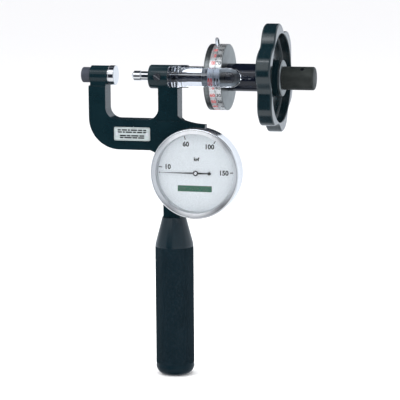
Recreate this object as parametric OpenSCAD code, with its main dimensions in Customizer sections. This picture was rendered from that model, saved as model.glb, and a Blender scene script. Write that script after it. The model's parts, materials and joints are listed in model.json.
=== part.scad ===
// Hand-held hardness tester: a C-shaped frame with a flat anvil, a micrometer screw that
// presses a pointed indenter on the work, a reading drum under a rod magnifier, a dial force
// gauge and a grip.
// The origin is the centre of the anvil's flat face. +X runs along the screw towards the
// handwheel, the dial faces -Y and the grip hangs down along -Z. Millimetres.

/* [Frame] */
// Thickness of the C-frame
frame_t = 12.6; // [10:0.1:14]
// Clear depth of the throat below the screw axis
throat_depth = 30.3; // [24:0.1:34]
// Height of the lower beam
beam_h = 21.3; // [18:0.1:24]
// Width of the arm that holds the anvil
anvil_arm_w = 12.3; // [11:0.1:12.6]
// Outer radius of the corner under the anvil arm
corner_r = 22; // [16:0.5:28]
// Radius of the two inner corners of the throat
throat_fillet = 8; // [4:0.5:10]
// Radius of the round head that guides the spindle
head_r = 8.3; // [8:0.1:9]
// Left end of the head, measured from the anvil face
head_x0 = 25.1; // [24:0.1:26]

/* [Anvil] */
// Radius of the flat anvil face
anvil_r = 6.9; // [5:0.1:7.5]
// Thickness of the anvil's head
anvil_t = 4.9; // [4:0.1:5.5]

/* [Screw] */
// Gap between the anvil and the indenter's point as drawn
rest_gap = 11.4; // [11.2:0.1:13]
// Radius of the sliding spindle
spindle_r = 3.1; // [2.9:0.1:3.3]
// Radius of the fixed barrel
barrel_r = 7.1; // [6.8:0.1:7.5]
// Radius of the turning thimble
thimble_r = 9.5; // [9.3:0.1:9.7]
// Radius of the lead screw's thread
screw_r = 3; // [2.6:0.1:3]

/* [Drum] */
// Radius of the reading drum
drum_r = 22.8; // [20:0.1:23]
// Width of the reading drum
drum_w = 12.6; // [12:0.1:13]
// How far the drum's setting pin stands out
drum_pin_len = 7; // [4:0.5:7]

/* [Handwheel] */
// Radius over the handwheel's lobes
wheel_r = 37.9; // [36:0.1:38.5]
// Depth of the dips between the lobes
wheel_dip = 5.5; // [2:0.1:5.6]
// Number of lobes
wheel_lobes = 6; // [4:1:8]
// Thickness of the handwheel's rim
wheel_w = 10.2; // [9.5:0.1:10.5]
// Radius of the speed knob
knob_r = 8; // [7:0.05:8.5]
// Length of the speed knob
knob_len = 22; // [19:0.5:26]

/* [Magnifier] */
// Radius of the clear rod
rod_r = 6.55; // [6:0.05:6.6]
// Length of the clear rod
rod_len = 49.9; // [48:0.1:50]

/* [Gauge] */
// Outer radius of the gauge's bezel
bezel_r = 31.3; // [31:0.1:32]
// Distance of the gauge's centre from the anvil face, along the screw
gauge_x = 61.9; // [61:0.1:63.5]
// Height of the gauge's centre, from the screw axis
gauge_z = -65.2; // [-66:0.1:-64]

/* [Handle] */
// Radius of the grip
handle_r = 13.6; // [12:0.1:14]
// Length of the grip
handle_len = 113.1; // [90:0.1:130]

/* [Hidden] */
$fn = 96;
cut = 1;                                   // how far a cutting shape runs past a face

// Frame outline
half_t = frame_t / 2;
arm_x1 = -6.2;                             // throat side of the anvil arm
arm_x0 = arm_x1 - anvil_arm_w;
arm_top = -7.1;                            // ledge at the top of the anvil arm
arm_neck_y = 5.2;                          // half thickness of the neck above the ledge
arm_bevel = 1.2;
boss_x0 = -17.6;
boss_r = 6.7;
throat_x1 = 32.1;                          // throat side of the head arm
head_arm_x1 = 46.2;
head_recess = 0.5;                         // the head arm's front stands back by this much
head_x1 = 46.9;
head_edge = 1;
head_drop = 0.5;                           // the head is this much lower than the screw axis
beam_z0 = -(throat_depth + beam_h);
stem_x0 = 35.3;
stem_x1 = 47.5;
stem_x = (stem_x0 + stem_x1) / 2;
stem_z0 = -98.8;
tail_x1 = 65.9;
tail_y1 = -1.1;                            // the tail is a thin plate at the frame's front
tail_z0 = -36;
tail_z1 = -32.8;
tail_arc_r = 50;                           // the tail's top edge is an arc of this radius
tail_arc_x0 = 50.5;

// Anvil shank and its nut
shank_r = 2.5;
anvil_knob_r = 5.4;
anvil_knob_x0 = -24.5;
anvil_groove = 0.35;

// Spindle, key and indenter
guide_x = 32.1;                            // place of the guide screw along the head
guide_head_r = 2.6;
guide_shank_r = 1.2;
guide_dog_r = 0.9;
guide_seat_y = 7;
key_w = 2;
key_bottom = 2.1;
fit_gap = 0.04;                            // radial clearance of the running fits
counterbore_r = 3.9;                       // lets the indenter holder slip into the head
counterbore_x1 = 30.9;
holder_x0 = rest_gap + 2.1;
holder_x1 = rest_gap + 7.3;
holder_r = 3.4;
holder_shank_r = 1.5;
holder_shank_len = 5;
point_r = 1.15;
spindle_x1 = 60;
socket_r = 2.05;
socket_x0 = 50.5;
ball_r = 1.5;

// Barrel and nut
seat_x0 = 40;
seat_r = 5.5;
barrel_x1 = 94;
barrel_bore_r = 3.4;
nut_x0 = 80;

// Lead screw, thimble and wheel
journal_x0 = socket_x0 + 2 * ball_r;
journal_r = 2;
groove_x0 = 56;
groove_x1 = 57.4;
groove_r = 1.3;
pin_r = 0.5;
pin_half = 2.2;
thread_x0 = 60.2;
thread_x1 = 106.2;
tail_shaft_r = 4;
tail_shaft_x1 = 136;
thimble_x0 = 69;
wheel_x0 = 108.6;
wheel_x1 = wheel_x0 + wheel_w;
wheel_web = 4;
wheel_recess_r = 30.4;
wheel_turn = 13.5;                         // turn of the lobes about the screw axis
wheel_dip_power = 1.6;                     // above 1, the dips are narrower than the lobes
hub_r = 12.4;
hub_ring_t = 1.5;
knob_x0 = wheel_x1 + hub_ring_t;
knob_x1 = knob_x0 + knob_len;
knob_edge = 1.4;                           // radius of the knob's end edge
knob_dome = 0.3;
knob_screw_x = knob_x0 + 13.5;
knob_screw_r = 1.5;
knob_screw_turn = 33;

// Drum
drum_x0 = thimble_x0;
drum_x1 = drum_x0 + drum_w;
drum_pin_r = 1.5;
drum_pin_x = drum_x0 + 6.9;
drum_pin_turn = 21;
drum_pin_depth = 6;
ring_x0 = drum_x0 + 8;
ring_x1 = drum_x0 + 9.6;
ring_r = 10.3;
ring_groove_r = 8.9;

// Magnifier and its collar
rod_y = -29.95;
rod_z = 2.4;
rod_x0 = 47.5;
rod_flange_r = 7.2;
rod_flange_len = 7.2;
collar_x0 = 47.4;
collar_x1 = 52.2;
collar_r = 7.9;
collar_x = (collar_x0 + collar_x1) / 2;
stud_r = 1.6;
stud_turn = atan2(rod_z, -rod_y);
stud_r0 = 4.6;
stud_r1 = 25;
collar_screw_r = 1.2;

// Gauge, all Y values from the back of the case to the front of the bezel
case_y1 = -half_t;
case_y0 = -13.6;
case_r = 31;
case_bore_r = 29.5;
case_back_t = 1.6;
bezel_y0 = -21.5;
bezel_y1 = case_y0 - 0.1;
bezel_seat_r = 28.6;
bezel_lip_r = 27.6;
bezel_skirt_y1 = -11.5;
glass_y0 = -20.8;
glass_y1 = -19.9;
dial_y0 = -16.5;
dial_y1 = -15.9;
dial_edge_r = 26.8;                        // edge of the open dial inside its ring
pointer_y0 = -17.4;
pointer_y1 = -17;
bridge_y0 = -12.6;
bridge_y1 = -12;
base_y0 = -8.7;
base_y1 = case_y1 - case_back_t;
pillar_r = 1.2;
pillar_x = 8;
movement_dz = [-9, 25];                    // lower and upper edge of the plates
gauge_screw_r = 1.4;
gauge_screw_head_r = 2.6;
gauge_screw_at = [[stem_x, -66], [stem_x, -80], [43, -46]];

// Gear movement
gear_module = 0.4;
pinion_teeth = 12;
sector_teeth = 96;
pinion_r = gear_module * pinion_teeth / 2;
sector_r = gear_module * sector_teeth / 2;
sector_z = gauge_z + pinion_r + sector_r;
sector_swing = 22.5;                       // swing of the sector over the whole scale
sector_y0 = -11.1;
sector_y1 = -10.1;
arbor_r = 0.6;
sector_arbor_r = 0.8;
tooth_addendum = 0.26;
tooth_dedendum = 0.48;
plunger_stroke = 1;
crank_r = plunger_stroke / (sector_swing * PI / 180);
plunger_x = gauge_x - crank_r;
plunger_y = -3.2;
plunger_r = 1.2;
plunger_z1 = tail_z0 - 0.05;
plunger_z0 = -46;
drive_pin_r = 0.5;
drive_pin_z = sector_z + plunger_stroke / 2;
guide_block_w = 6;
guide_block_z0 = -51.5;
guide_block_z1 = -39;
guide_block_y1 = -0.6;
spring_z0 = -50;

// Handle
stud_len_up = 10;
stud_len_down = 26;
handle_stud_r = 4;
handle_neck_r = 8.4;
handle_cone_z = -118.3;
handle_z0 = stem_z0 - handle_len;
handle_edge = 6.5;

frame_paint = [0.06, 0.12, 0.15];
black_metal = [0.05, 0.07, 0.09];
bright = [0.82, 0.83, 0.85];
steel = [0.45, 0.5, 0.55];
brass = [0.8, 0.62, 0.3];

// ---- shapes that repeat ----

// A round bar along X
module x_rod(x0, x1, r) {
    translate([x0, 0, 0]) rotate([0, 90, 0]) cylinder(h = x1 - x0, r = r);
}

// A tube along X
module x_tube(x0, x1, r_out, r_in) {
    difference() {
        x_rod(x0, x1, r_out);
        x_rod(x0 - cut, x1 + cut, r_in);
    }
}

// A shape turned about X, from points of [x, radius]
module x_turned(points) {
    rotate([0, 90, 0]) rotate_extrude() polygon([for (p = points) [p[1], p[0]]]);
}

// A radial bar that leans from the top towards the front by the given angle
module radial_rod(x, turn, r0, r1, r) {
    translate([x, 0, 0]) rotate([turn, 0, 0]) translate([0, 0, r0]) cylinder(h = r1 - r0, r = r);
}

// A disc about the gauge's axis
module dial_disc(y0, y1, r) {
    translate([gauge_x, y1, gauge_z]) rotate([90, 0, 0]) cylinder(h = y1 - y0, r = r);
}

// A shape turned about the gauge's axis, from points of [radius, y]
module dial_turned(points) {
    translate([gauge_x, 0, gauge_z]) rotate([-90, 0, 0]) rotate_extrude() polygon(points);
}

// A pin along Y
module y_rod(x, z, y0, y1, r) {
    translate([x, y1, z]) rotate([90, 0, 0]) cylinder(h = y1 - y0, r = r);
}

// A flat outline in X and Z, thick from y0 to y1
module side_plate(y0, y1) {
    translate([0, y1, 0]) rotate([90, 0, 0]) linear_extrude(y1 - y0) children();
}

// A box from its lowest to its highest corner
module box(low, high) {
    translate(low) cube(high - low);
}

// ---- frame ----

// The tail's top edge, an arc that ends level at the tail's tip
function tail_top(n) = [
    for (i = [0:n])
        let (x = tail_arc_x0 + (tail_x1 - tail_arc_x0) * i / n)
        [x, tail_z1 + tail_arc_r - sqrt(pow(tail_arc_r, 2) - pow(tail_x1 - x, 2))]
];

module throat_outline() {
    translate([arm_x1, -throat_depth + throat_fillet])
        square([throat_x1 - arm_x1, throat_depth]);
    translate([arm_x1 + throat_fillet, -throat_depth])
        square([throat_x1 - arm_x1 - 2 * throat_fillet, throat_fillet + cut]);
    for (x = [arm_x1 + throat_fillet, throat_x1 - throat_fillet])
        translate([x, -throat_depth + throat_fillet]) circle(throat_fillet);
}

module corner_outline() {
    translate([arm_x0 + corner_r, beam_z0 + corner_r])
        intersection() {
            circle(corner_r);
            translate([-corner_r, -corner_r]) square(corner_r);
        }
}

module c_outline() {
    difference() {
        union() {
            translate([arm_x0, beam_z0 + corner_r])
                square([head_arm_x1 - arm_x0, arm_top - beam_z0 - corner_r]);
            translate([arm_x0 + corner_r, beam_z0])
                square([head_arm_x1 - arm_x0 - corner_r, corner_r + cut]);
            corner_outline();
        }
        throat_outline();
    }
}

// The stem that carries the grip, and its roots in the beam
module stem_outline() {
    polygon([
        [head_arm_x1 - cut, -44], [head_arm_x1, -45], [stem_x1, -60], [stem_x1, stem_z0],
        [stem_x0, stem_z0], [stem_x0, -59], [30.7, -53.6], [26.3, beam_z0], [26.3, beam_z0 + cut]
    ]);
}

module tail_outline() {
    polygon(concat(
        [[head_arm_x1 - cut, -25.5], [head_arm_x1, -27]],
        tail_top(16),
        [
            [tail_x1, tail_z0], [57.5, tail_z0], [54.5, -39.5], [51.5, -50],
            [stem_x1, -60], [stem_x1 - cut, -60], [head_arm_x1 - cut, -45]
        ]
    ));
}

module head_arm() {
    box([throat_x1, -half_t + head_recess, -throat_depth - 0.6], [head_arm_x1, half_t, 0]);
}

module anvil_boss() {
    x_rod(boss_x0, -anvil_t, boss_r);
    box([boss_x0, -arm_neck_y, arm_top - cut], [arm_x1, arm_neck_y, 0]);
}

module head_boss() {
    translate([0, 0, -head_drop]) x_turned([
        [head_x0, 0], [head_x0, head_r - head_edge], [head_x0 + 0.3 * head_edge, head_r - 0.3 * head_edge],
        [head_x0 + head_edge, head_r], [head_x1, head_r], [head_x1, 0]
    ]);
}

// The bevel that softens the ledge at the top of the anvil arm
module arm_bevel_cuts() {
    for (side = [-1, 1])
        translate([arm_x0 - cut, side * half_t, arm_top]) rotate([45, 0, 0])
            translate([0, -arm_bevel / 2, -arm_bevel / 2])
                cube([anvil_arm_w + 2 * cut, arm_bevel, arm_bevel]);
}

module frame() {
    color(frame_paint)
    difference() {
        union() {
            difference() {
                union() {
                    side_plate(-half_t, half_t) {
                        c_outline();
                        stem_outline();
                    }
                    side_plate(-half_t, tail_y1) tail_outline();
                }
                arm_bevel_cuts();
                box([throat_x1 - cut, -half_t - cut, -throat_depth - 0.6],
                    [head_arm_x1 + cut, -half_t + head_recess, arm_top + cut]);
            }
            head_arm();
            anvil_boss();
            head_boss();
        }
        x_rod(boss_x0 - cut, 0, shank_r);
        x_rod(head_x0 - cut, counterbore_x1, counterbore_r);
        x_rod(head_x0, seat_x0 + cut, spindle_r + fit_gap);
        x_rod(seat_x0, head_x1 + cut, seat_r);
        y_rod(guide_x, 0, -head_r - cut, -guide_seat_y, guide_head_r + 0.1);
        y_rod(guide_x, 0, -head_r, -spindle_r, guide_shank_r);
        for (p = gauge_screw_at) {
            y_rod(p[0], p[1], -half_t - cut, half_t + cut, gauge_screw_r);
            y_rod(p[0], p[1], half_t - 2.4, half_t + cut, gauge_screw_head_r + 0.1);
        }
        translate([stem_x, 0, stem_z0 - cut]) cylinder(h = stud_len_up + cut, r = handle_stud_r);
    }
}

module anvil() {
    color(bright)
    x_turned([
        [anvil_knob_x0 + 3, 0], [anvil_knob_x0 + 3, shank_r], [-anvil_t, shank_r],
        [-anvil_t, anvil_r - anvil_groove], [-anvil_t + 0.7, anvil_r - anvil_groove],
        [-anvil_t + 0.9, anvil_r], [-0.3, anvil_r], [0, anvil_r - 0.3], [0, 0]
    ]);
}

module anvil_knob() {
    edge = 0.6;
    color(black_metal)
    difference() {
        x_turned([
            [anvil_knob_x0, 0], [anvil_knob_x0, anvil_knob_r - edge], [anvil_knob_x0 + edge, anvil_knob_r],
            [boss_x0 - edge, anvil_knob_r], [boss_x0, anvil_knob_r - edge], [boss_x0, 0]
        ]);
        x_rod(anvil_knob_x0 + 3, boss_x0 + cut, shank_r);
    }
}

module guide_screw() {
    slot_w = 0.7;
    color(steel)
    difference() {
        union() {
            y_rod(guide_x, 0, -head_r - 0.5, -guide_seat_y, guide_head_r);
            y_rod(guide_x, 0, -guide_seat_y, -spindle_r, guide_shank_r);
            y_rod(guide_x, 0, -spindle_r, -key_bottom - 0.1, guide_dog_r);
        }
        translate([guide_x, -head_r - 0.5, 0]) rotate([0, 35, 0])
            cube([2 * guide_head_r + cut, 1.4, slot_w], center = true);
    }
}

// ---- nameplate ----

plate_x0 = 0.1;
plate_x1 = 26.3;
plate_z0 = -45.1;
plate_z1 = -35.7;
plate_t = 0.5;
rivet_r = 0.9;
rivet_x = [2.2, 24.2];

module nameplate() {
    corner = 1;
    color([0.75, 0.78, 0.8])
    difference() {
        side_plate(-half_t - plate_t, -half_t)
            union() {
                translate([plate_x0 + corner, plate_z0])
                    square([plate_x1 - plate_x0 - 2 * corner, plate_z1 - plate_z0]);
                translate([plate_x0, plate_z0 + corner])
                    square([plate_x1 - plate_x0, plate_z1 - plate_z0 - 2 * corner]);
                for (x = [plate_x0 + corner, plate_x1 - corner], z = [plate_z0 + corner, plate_z1 - corner])
                    translate([x, z]) circle(corner);
            }
        for (x = rivet_x)
            y_rod(x, (plate_z0 + plate_z1) / 2, -half_t - cut, -half_t + cut, rivet_r);
    }
}

module nameplate_rivets() {
    head_t = 0.4;
    color(bright)
    for (x = rivet_x) {
        y_rod(x, (plate_z0 + plate_z1) / 2, -half_t - plate_t, -half_t, rivet_r);
        y_rod(x, (plate_z0 + plate_z1) / 2, -half_t - plate_t - head_t, -half_t - plate_t, rivet_r + 0.4);
    }
}

// ---- barrel and magnifier ----

module barrel() {
    color(black_metal)
    difference() {
        union() {
            x_rod(seat_x0, head_x1, seat_r);
            x_rod(head_x1, barrel_x1, barrel_r);
        }
        x_rod(seat_x0 - cut, barrel_x1, barrel_bore_r);
        x_rod(nut_x0, barrel_x1 + cut, seat_r);
        radial_rod(collar_x, -90, 5.4, barrel_r + cut, collar_screw_r);
        radial_rod(collar_x, 90 - stud_turn, stud_r0, barrel_r + cut, stud_r);
    }
}

module lead_nut() {
    color(brass) x_tube(nut_x0, barrel_x1, seat_r, screw_r + fit_gap);
}

module magnifier_collar() {
    color(black_metal)
    difference() {
        x_rod(collar_x0, collar_x1, collar_r);
        x_rod(collar_x0 - cut, collar_x1 + cut, barrel_r);
        radial_rod(collar_x, 90 - stud_turn, stud_r0, collar_r + cut, stud_r);
        radial_rod(collar_x, -90, barrel_r - cut, collar_r + cut, collar_screw_r);
    }
}

module magnifier_stud() {
    color(black_metal) radial_rod(collar_x, 90 - stud_turn, stud_r0, stud_r1, stud_r);
}

module collar_screw() {
    color(steel)
    difference() {
        radial_rod(collar_x, -90, 5.4, collar_r + 0.2, collar_screw_r);
        translate([collar_x, collar_r + 0.2, 0]) cube([0.4, 1, 3], center = true);
    }
}

module magnifier() {
    color([0.85, 0.9, 0.95, 0.5])
    difference() {
        translate([0, rod_y, rod_z]) union() {
            x_turned([
                [rod_x0, 0], [rod_x0, rod_flange_r - 0.5], [rod_x0 + 0.5, rod_flange_r],
                [rod_x0 + rod_flange_len, rod_flange_r], [rod_x0 + rod_flange_len + 0.6, rod_r],
                [rod_x0 + rod_len - rod_r, rod_r], [rod_x0 + rod_len - rod_r, 0]
            ]);
            translate([rod_x0 + rod_len - rod_r, 0, 0]) sphere(rod_r);
        }
        radial_rod(collar_x, 90 - stud_turn, stud_r0, stud_r1, stud_r);
    }
}

// ---- sliding spindle ----

module spindle() {
    color(bright)
    difference() {
        x_rod(holder_x1, spindle_x1, spindle_r);
        box([holder_x1 - cut, -spindle_r - cut, -key_w / 2], [guide_x + 12.2, -key_bottom, key_w / 2]);
        x_rod(holder_x1 - cut, holder_x1 + holder_shank_len, holder_shank_r);
        x_rod(socket_x0, spindle_x1 + cut, socket_r);
        translate([(groove_x0 + groove_x1) / 2, -groove_r - pin_r - 0.05, -spindle_r - cut])
            cylinder(h = 2 * spindle_r + 2 * cut, r = pin_r);
    }
}

module indenter_holder() {
    color(bright)
    difference() {
        x_turned([
            [rest_gap + 0.75, 0], [rest_gap + 0.75, 1.5], [holder_x0, holder_r], [holder_x1 - 0.4, holder_r],
            [holder_x1, holder_r - 0.3], [holder_x1, holder_shank_r],
            [holder_x1 + holder_shank_len, holder_shank_r], [holder_x1 + holder_shank_len, 0]
        ]);
        x_rod(rest_gap, holder_x0, point_r);
    }
}

module indenter_point() {
    cone_len = point_r / tan(60);
    color([0.3, 0.32, 0.35])
    x_turned([
        [rest_gap, 0], [rest_gap + cone_len, point_r], [holder_x0, point_r], [holder_x0, 0]
    ]);
}

module thrust_ball() {
    color(bright) translate([socket_x0 + ball_r, 0, 0]) sphere(ball_r);
}

module retaining_pin() {
    color(steel)
    translate([(groove_x0 + groove_x1) / 2, -groove_r - pin_r - 0.05, -pin_half])
        cylinder(h = 2 * pin_half, r = pin_r);
}

// ---- turning parts ----

module lead_screw() {
    color(steel)
    x_turned([
        [journal_x0, 0], [journal_x0, journal_r], [groove_x0, journal_r], [groove_x0, groove_r],
        [groove_x1, groove_r], [groove_x1, journal_r], [thread_x0, journal_r], [thread_x0, screw_r],
        [thread_x1, screw_r], [thread_x1, tail_shaft_r], [tail_shaft_x1, tail_shaft_r],
        [tail_shaft_x1, 0]
    ]);
}

module thimble() {
    color(black_metal)
    difference() {
        x_rod(thimble_x0, wheel_x0, thimble_r);
        x_rod(thimble_x0 - cut, thread_x1, barrel_r + fit_gap);
        x_rod(thread_x1 - cut, wheel_x0 + cut, tail_shaft_r);
        x_tube(ring_x0 - 0.1, ring_x1 + 0.1, thimble_r + cut, ring_groove_r);
    }
}

function wheel_outline(n) = [
    for (i = [0:n - 1])
        let (a = 360 * i / n, dip = (1 - cos(wheel_lobes * (a - wheel_turn))) / 2,
             r = wheel_r - wheel_dip * pow(dip, wheel_dip_power))
        [r * cos(a), r * sin(a)]
];

module handwheel() {
    color(black_metal)
    difference() {
        translate([wheel_x0, 0, 0]) rotate([0, 90, 0]) linear_extrude(wheel_w) polygon(wheel_outline(144));
        x_tube(wheel_x0 + wheel_web, wheel_x1 + cut, wheel_recess_r, hub_r);
        x_rod(wheel_x0 - cut, wheel_x1 + cut, tail_shaft_r);
    }
}

module hub_ring() {
    color(bright)
    difference() {
        x_turned([
            [wheel_x1, 0], [wheel_x1, hub_r], [knob_x0 - 0.6, hub_r], [knob_x0, hub_r - 1], [knob_x0, 0]
        ]);
        x_rod(wheel_x1 - cut, knob_x0 + cut, tail_shaft_r);
    }
}

module speed_knob() {
    arc = [for (a = [0:15:90]) [
        knob_x1 - knob_dome - knob_edge * (1 - sin(a)), knob_r - knob_edge * (1 - cos(a))
    ]];
    color([0.14, 0.14, 0.15])
    difference() {
        x_turned(concat(
            [[knob_x0, 0], [knob_x0, knob_r]],
            arc,
            [[knob_x1 - knob_dome / 4, knob_r / 2], [knob_x1, 0]]
        ));
        x_rod(knob_x0 - cut, tail_shaft_x1, tail_shaft_r);
        radial_rod(knob_screw_x, knob_screw_turn, tail_shaft_r - cut, knob_r + cut, knob_screw_r);
    }
}

module knob_set_screw() {
    screw_top = knob_r - 1.2;
    color(steel)
    difference() {
        radial_rod(knob_screw_x, knob_screw_turn, tail_shaft_r + 0.05, screw_top, knob_screw_r);
        translate([knob_screw_x, 0, 0]) rotate([knob_screw_turn, 0, 0]) translate([0, 0, screw_top - 1.2])
            cylinder(h = 1.2 + cut, r = 0.8, $fn = 6);
    }
}

// ---- reading drum ----

module drum() {
    edge = 0.3;
    color(steel)
    difference() {
        x_turned([
            [drum_x0, 0], [drum_x0, drum_r - edge], [drum_x0 + edge, drum_r], [drum_x1 - edge, drum_r],
            [drum_x1, drum_r - edge], [drum_x1, 0]
        ]);
        x_rod(drum_x0 - cut, drum_x1 + cut, thimble_r + fit_gap);
        x_rod(ring_x0, ring_x1, ring_r);
        radial_rod(drum_pin_x, drum_pin_turn, drum_r - drum_pin_depth, drum_r + cut, drum_pin_r);
    }
}

module drum_pin() {
    tip = drum_r + drum_pin_len;
    color(bright) {
        radial_rod(drum_pin_x, drum_pin_turn, drum_r - drum_pin_depth, tip - drum_pin_r, drum_pin_r);
        translate([drum_pin_x, 0, 0]) rotate([drum_pin_turn, 0, 0]) translate([0, 0, tip - drum_pin_r])
            sphere(drum_pin_r);
    }
}

// An open spring ring that holds the drum along the thimble and drags on it
module drum_spring_ring() {
    color(steel)
    difference() {
        x_tube(ring_x0, ring_x1, ring_r, ring_groove_r + fit_gap);
        box([ring_x0 - cut, -1, 0], [ring_x1 + cut, 1, ring_r + cut]);
    }
}

// ---- gauge ----

module gauge_case() {
    color(bright)
    difference() {
        dial_disc(case_y0, case_y1, case_r);
        dial_disc(case_y0 - cut, case_y1 - case_back_t, case_bore_r);
        for (p = gauge_screw_at)
            y_rod(p[0], p[1], case_y1 - case_back_t - cut, case_y1 + cut, gauge_screw_r);
        box([plunger_x - 0.9, case_y1 - case_back_t - cut, drive_pin_z - plunger_stroke - 1],
            [plunger_x + 0.9, case_y1 + cut, drive_pin_z + 1]);
    }
}

module gauge_screws() {
    color(steel)
    for (p = gauge_screw_at)
        difference() {
            union() {
                y_rod(p[0], p[1], case_y1 - case_back_t, half_t - 2.4, gauge_screw_r);
                y_rod(p[0], p[1], half_t - 2.4, half_t - 0.4, gauge_screw_head_r);
            }
            translate([p[0], half_t - 0.4, p[1]]) cube([2 * gauge_screw_head_r + cut, 1.6, 0.7], center = true);
        }
}

module gauge_bezel() {
    color(bright)
    dial_turned([
        [bezel_lip_r, glass_y0], [bezel_lip_r, glass_y0 - 0.3], [bezel_lip_r + 0.9, bezel_y0 + 0.15],
        [bezel_lip_r + 1.7, bezel_y0], [bezel_r - 1.2, bezel_y0], [bezel_r - 0.4, bezel_y0 + 0.4],
        [bezel_r, bezel_y0 + 1.2], [bezel_r, bezel_y1], [case_bore_r - 0.08, bezel_y1],
        [case_bore_r - 0.08, bezel_skirt_y1], [bezel_seat_r, bezel_skirt_y1], [bezel_seat_r, glass_y0]
    ]);
}

module gauge_glass() {
    color([0.85, 0.92, 0.95, 0.3]) dial_disc(glass_y0, glass_y1, bezel_seat_r);
}

module dial_ring() {
    color(bright)
    dial_turned([
        [bezel_lip_r, glass_y1], [bezel_seat_r, glass_y1], [bezel_seat_r, dial_y0], [dial_edge_r, dial_y0]
    ]);
}

module gauge_dial() {
    color([0.86, 0.88, 0.9])
    difference() {
        dial_disc(dial_y0, dial_y1, bezel_seat_r);
        dial_disc(dial_y0 - cut, dial_y1 + cut, arbor_r + 0.5);
    }
}

module pointer() {
    tip = 25.1;
    tail = 11.4;
    hub = 1.9;
    color([0.05, 0.05, 0.06])
    difference() {
        translate([gauge_x, 0, gauge_z]) side_plate(pointer_y0, pointer_y1) {
            polygon([[-tip, 0.08], [-tip, -0.08], [0, -0.5], [0, 0.5]]);
            polygon([[0, 0.7], [0, -0.7], [tail - 2, -0.35], [tail - 2, 0.35]]);
            polygon([[tail - 3, 0.5], [tail - 3, -0.5], [tail - 1.7, -1.3], [tail, 0], [tail - 1.7, 1.3]]);
            circle(hub);
        }
        dial_disc(pointer_y0 - cut, pointer_y1 + cut, arbor_r);
    }
}

// Points of one gear tooth that stands on the given angle, clockwise from +Z
function tooth(pitch_r, angle) =
    let (pitch = gear_module * PI, low = pitch_r - tooth_dedendum, high = pitch_r + tooth_addendum)
    [
        for (p = [[-0.25, low], [-0.17, pitch_r], [-0.1, high], [0.1, high], [0.17, pitch_r], [0.25, low]])
            let (a = angle + atan2(p[0] * pitch, p[1]), r = norm([p[0] * pitch, p[1]]))
            [r * sin(a), r * cos(a)]
    ];

// Points along a row of teeth, from the first tooth to the last
function tooth_row(teeth, first, last, start = 0) = [
    for (i = [first:last])
        each tooth(gear_module * teeth / 2, start + i * 360 / teeth)
];

module pointer_arbor() {
    color(brass) {
        y_rod(gauge_x, gauge_z, pointer_y0, base_y1 - 0.1, arbor_r);
        translate([gauge_x, 0, gauge_z]) side_plate(sector_y0 - 0.4, sector_y1 + 0.4)
            polygon(tooth_row(pinion_teeth, 0, pinion_teeth - 1));
    }
}

module sector_gear() {
    web_w = 4;
    rim_w = 2.4;
    first_tooth = -2;
    last_tooth = 8;
    tooth_step = 360 / sector_teeth;
    start = 180 + tooth_step / 2;
    web_turn = tooth_step * (first_tooth + last_tooth + 1) / 2;
    crank_len = crank_r + 2;
    inner_arc = [
        for (i = [last_tooth + 1:-1:first_tooth])
            let (a = start + (i - 0.5) * tooth_step)
            [(sector_r - rim_w) * sin(a), (sector_r - rim_w) * cos(a)]
    ];
    color(brass)
    difference() {
        translate([gauge_x, 0, sector_z]) {
            side_plate(sector_y0, sector_y1)
                polygon(concat(tooth_row(sector_teeth, first_tooth, last_tooth, start), inner_arc));
            side_plate(sector_y0, sector_y1) {
                rotate(-web_turn) translate([-web_w / 2, -sector_r + 1.2]) square([web_w, sector_r - 1.2]);
                circle(2.6);
                rotate(-sector_swing / 2) translate([-crank_len, -1.1]) square([crank_len, 2.2]);
            }
        }
        y_rod(gauge_x, sector_z, sector_y0 - cut, sector_y1 + cut, sector_arbor_r);
        translate([gauge_x, 0, sector_z]) rotate([0, sector_swing / 2, 0])
            translate([-crank_r, (sector_y0 + sector_y1) / 2, 0])
                cube([1.8, 2 * cut + 1, 2 * drive_pin_r + 0.15], center = true);
    }
}

module sector_arbor() {
    color(steel) y_rod(gauge_x, sector_z, bridge_y0, base_y1 - 0.1, sector_arbor_r);
}

module movement_plate(y0, y1, open_slot) {
    half_w = 10;
    difference() {
        box([gauge_x - half_w, y0, gauge_z + movement_dz[0]], [gauge_x + half_w, y1, gauge_z + movement_dz[1]]);
        y_rod(gauge_x, gauge_z, y0 - cut, y1 + cut, arbor_r + fit_gap);
        y_rod(gauge_x, sector_z, y0 - cut, y1 + cut, sector_arbor_r + fit_gap);
        if (open_slot)
            box([plunger_x - 0.9, y0 - cut, drive_pin_z - plunger_stroke - 1],
                [plunger_x + 0.9, y1 + cut, drive_pin_z + 1]);
    }
}

module movement_base() {
    color(brass) movement_plate(base_y0, base_y1, true);
}

module movement_bridge() {
    color(brass) movement_plate(bridge_y0, bridge_y1, false);
}

module movement_pillars() {
    color(brass)
    for (x = [-pillar_x, pillar_x], dz = [movement_dz[0] + 2, movement_dz[1] - 2])
        y_rod(gauge_x + x, gauge_z + dz, bridge_y1, base_y0, pillar_r);
}

// A flat spiral that takes the backlash out of the gears
module hairspring() {
    turns = 4;
    steps = 24 * turns;
    r_in = 1.1;
    growth = 0.5;
    strip = 0.12;
    spiral = [
        for (side = [0, 1], i = [0:steps])
            let (k = side == 0 ? i : steps - i, a = 360 * k / 24, r = r_in + growth * k / 24 + side * strip)
            [r * cos(a), r * sin(a)]
    ];
    color(steel) translate([gauge_x, 0, gauge_z]) side_plate(-9.5, -9) polygon(spiral);
}

// ---- plunger that feels the frame open under load ----

module plunger_guide() {
    color(black_metal)
    difference() {
        box([plunger_x - guide_block_w / 2, case_y1, guide_block_z0],
            [plunger_x + guide_block_w / 2, guide_block_y1, guide_block_z1]);
        translate([plunger_x, plunger_y, spring_z0]) cylinder(h = 30, r = plunger_r + fit_gap);
        box([plunger_x - 0.7, case_y1 - cut, drive_pin_z - plunger_stroke - 0.8],
            [plunger_x + 0.7, plunger_y, drive_pin_z + 0.8]);
    }
}

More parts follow.
